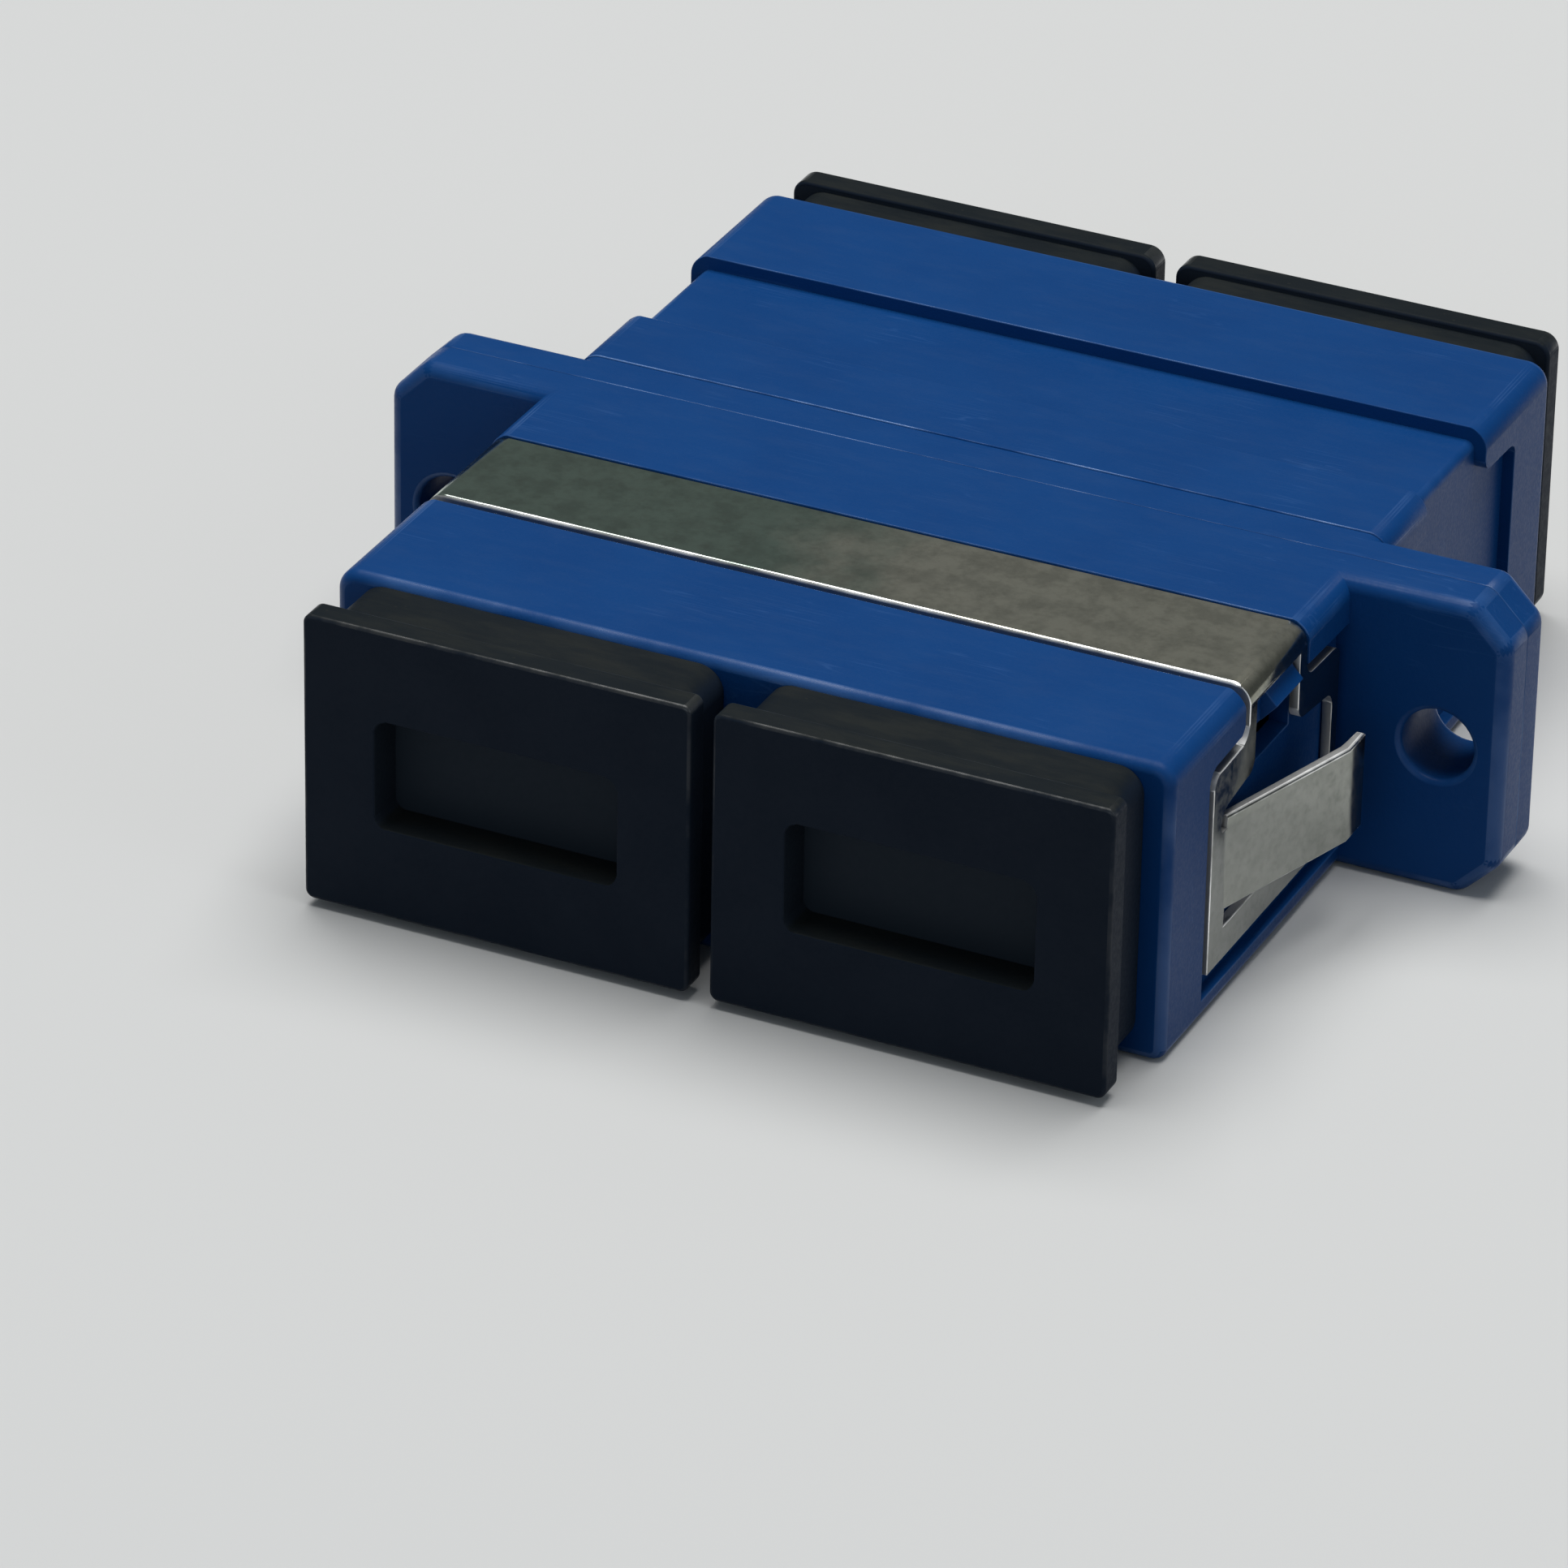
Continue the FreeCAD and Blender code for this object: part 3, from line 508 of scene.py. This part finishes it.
def merged_copy(node_name):
    """A copy of a CAD node with its triangles merged and its flat areas joined."""
    shape = bmesh.new()
    shape.from_mesh(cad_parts[node_name].data)
    bmesh.ops.remove_doubles(shape, verts=shape.verts, dist=MERGE_DISTANCE)
    bmesh.ops.dissolve_limit(shape, angle_limit=FLAT_ANGLE, verts=shape.verts, edges=shape.edges)
    return shape


def bevel(shape, edges, width, steps):
    """Round over some edges, and give back the new faces."""
    return bmesh.ops.bevel(shape, geom=edges, offset=width, offset_type="OFFSET", affect="EDGES",
                           segments=steps, profile=0.5, material=-1, clamp_overlap=False)["faces"]


def sharp_edges(shape, rim):
    """Outward corners that are not rounded yet, away from the plane where the two halves meet."""
    return [edge for edge in shape.edges if edge.is_convex and edge.calc_face_angle(0.0) > SHARP_ANGLE
            and max(abs(vert.co.y) for vert in edge.verts) > SEAM_REACH
            and not any(face[rim] for face in edge.link_faces)]


def round_over(shape, rim, rim_width, wide_edge):
    """Round over the outer edges, and further those that wide_edge picks."""
    if wide_edge is not None:
        wide = [edge for edge in sharp_edges(shape, rim) if wide_edge(edge)]
        for face in bevel(shape, wide, WIDE_RIM, WIDE_RIM_STEPS):
            face[rim] = 1.0
    for face in bevel(shape, sharp_edges(shape, rim), rim_width, RIM_STEPS):
        face[rim] = 1.0


def shade(shape):
    """Smooth faces, with a crease along each edge that is still sharp."""
    bmesh.ops.recalc_face_normals(shape, faces=shape.faces)
    for face in shape.faces:
        face.smooth = True
    for edge in shape.edges:
        edge.smooth = edge.calc_face_angle(0.0) < CREASE_ANGLE


def dress(node_name, piece_name, body, finish, rim_width, strip_wear_and_highlight=1.0, wide_edge=None, wear_and_highlight=None,
          marked=None):
    """A piece in a CAD node's place: the node's shape with its outer edges rounded over, in a finish."""
    shape = merged_copy(node_name)
    rim = shape.faces.layers.float.new(RIM_LAYER)
    mark = shape.faces.layers.float.new(MARK_LAYER)
    for face in shape.faces:
        leans = max(abs(part) for part in face.normal) < LEANING
        if leans and min(edge.calc_length() for edge in face.edges) < STRIP_WIDTH:
            # Narrow leaning strips of CAD fillets are rims; those on the seam carry a painted highlight
            face[rim] = SEAM_PAINTED_HIGHLIGHT if abs(face.calc_center_median().y) < SEAM_REACH else strip_wear_and_highlight
        if marked is not None:
            face[mark] = marked(face)
    round_over(shape, rim, rim_width, wide_edge)
    if wear_and_highlight is not None:
        shape.normal_update()
        for face in shape.faces:
            face[rim] *= wear_and_highlight(face)
    low, high = extent(node_name)
    for vert in shape.verts:
        vert.co = [min(max(part, low[axis]), high[axis]) for axis, part in enumerate(vert.co)]
    shade(shape)
    mesh = bpy.data.meshes.new(piece_name)
    shape.to_mesh(mesh)
    shape.free()
    mesh.materials.append(finish)
    piece = bpy.data.objects.new(piece_name, mesh)
    bpy.context.scene.collection.objects.link(piece)
    normals = piece.modifiers.new("flat_faces", "WEIGHTED_NORMAL")
    normals.keep_sharp = True
    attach(piece, body)
    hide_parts(node_name)


for end in ("front", "rear"):
    dress(end + "_housing", end + "_housing_shell", "coupler", HOUSING_BLUE, HOUSING_RIM,
          strip_wear_and_highlight=ROUNDED_WEAR_AND_HIGHLIGHT, wear_and_highlight=housing_wear_and_highlight)
    for side in ("left", "right"):
        port = end + "_" + side
        dress(port + "_holder", port + "_latch_holder", "coupler", HOLDER_BLUE, HOLDER_RIM)
        dress(port + "_cap", port + "_dust_cap", port + "_cap", CAP_BLACK, CAP_RIM,
              wear_and_highlight=cap_wear_and_highlight, marked=in_recess)
for side in ("left", "right"):
    dress(side + "_sleeve", side + "_split_sleeve", "coupler", SLEEVE_WHITE, SLEEVE_RIM)
dress("spring_clip", "spring_clip_strip", "coupler", CLIP_STEEL, CLIP_RIM,
      wide_edge=catches_light, marked=is_sheared)


# Floor

FLOOR_SIZE = 4.0
FLOOR_SEEN = (0.62, 0.62, 0.61, 1)
FLOOR_MIRRORED = (0.85, 0.85, 0.85, 1)
FLOOR_BOUNCE = (0.2, 0.2, 0.2, 1)


def pale_floor():
    """A pale floor that keeps the object's shadow, and gives back little light to the object."""
    material = bpy.data.materials.new("pale_floor")
    material.use_nodes = True
    tree = material.node_tree
    tree.nodes.remove(tree.nodes["Principled BSDF"])
    path = add(tree, "ShaderNodeLightPath")
    tone = mixed(tree, path.outputs["Is Camera Ray"], FLOOR_BOUNCE, FLOOR_SEEN)
    tone = mixed(tree, path.outputs["Is Glossy Ray"], tone, FLOOR_MIRRORED)
    surface = add(tree, "ShaderNodeBsdfDiffuse")
    feed(tree, tone, surface, "Color")
    feed(tree, surface.outputs["BSDF"], tree.nodes["Material Output"], "Surface")
    return material


floor_shape = bmesh.new()
bmesh.ops.create_grid(floor_shape, x_segments=1, y_segments=1, size=FLOOR_SIZE / 2)
floor_mesh = bpy.data.meshes.new("floor")
floor_shape.to_mesh(floor_mesh)
floor_shape.free()
floor_mesh.materials.append(pale_floor())
floor = bpy.data.objects.new("floor", floor_mesh)
bpy.context.scene.collection.objects.link(floor)


# Light

MIDDLE = (0.0, 0.0, 0.005)
WHITE = (1.0, 1.0, 1.0)
FRONT_TINT = (0.72, 0.86, 1.0)
SIDE_TINT = (0.8, 0.9, 1.0)
ROOM_TINT = (0.88, 0.95, 1.0, 1)
ROOM_STRENGTH = 0.15


def softbox(name, place, size, power, colour):
    """A soft rectangular lamp that faces the middle of the object."""
    light = bpy.data.lights.new(name, "AREA")
    light.shape = "RECTANGLE"
    light.size, light.size_y = size
    light.energy = power
    light.color = colour
    lamp = bpy.data.objects.new(name, light)
    lamp.location = place
    lamp.rotation_euler = (Vector(MIDDLE) - Vector(place)).to_track_quat("-Z", "Y").to_euler()
    bpy.context.scene.collection.objects.link(lamp)


softbox("overhead_softbox", place=(-0.02, 0.06, 0.46), size=(0.36, 0.36), power=2.38, colour=WHITE)
softbox("front_fill", place=(0.06, -0.42, 0.14), size=(0.3, 0.2), power=0.2, colour=FRONT_TINT)
softbox("side_fill", place=(0.45, -0.05, 0.2), size=(0.3, 0.3), power=0.2, colour=SIDE_TINT)

world = bpy.data.worlds.new("dim_room")
world.use_nodes = True
background = world.node_tree.nodes["Background"]
background.inputs["Color"].default_value = ROOM_TINT
background.inputs["Strength"].default_value = ROOM_STRENGTH
bpy.context.scene.world = world
bpy.context.scene.view_settings.view_transform = "Standard"


# Camera, which stands as it did for the photograph

CAMERA_PLACE = Vector((99.557, -224.958, 134.849)) * MM
CAMERA_AZIMUTH = math.radians(24.992)
CAMERA_ELEVATION = math.radians(28.973)
CAMERA_ROLL = math.radians(-1.083)
CAMERA_LENS = 220.44
CAMERA_SENSOR = 36.0
CAMERA_NEAR = 0.01
CAMERA_FAR = 10.0

lens = bpy.data.cameras.new("portrait_camera")
lens.sensor_width = CAMERA_SENSOR
lens.lens = CAMERA_LENS
lens.clip_start = CAMERA_NEAR
lens.clip_end = CAMERA_FAR
camera = bpy.data.objects.new("portrait_camera", lens)
towards = Vector((-math.sin(CAMERA_AZIMUTH) * math.cos(CAMERA_ELEVATION),
                  math.cos(CAMERA_AZIMUTH) * math.cos(CAMERA_ELEVATION),
                  -math.sin(CAMERA_ELEVATION)))
level = towards.to_track_quat("-Z", "Y")
camera.location = CAMERA_PLACE
camera.rotation_mode = "QUATERNION"
camera.rotation_quaternion = Quaternion(towards, CAMERA_ROLL) @ level
bpy.context.scene.collection.objects.link(camera)
bpy.context.scene.camera = camera
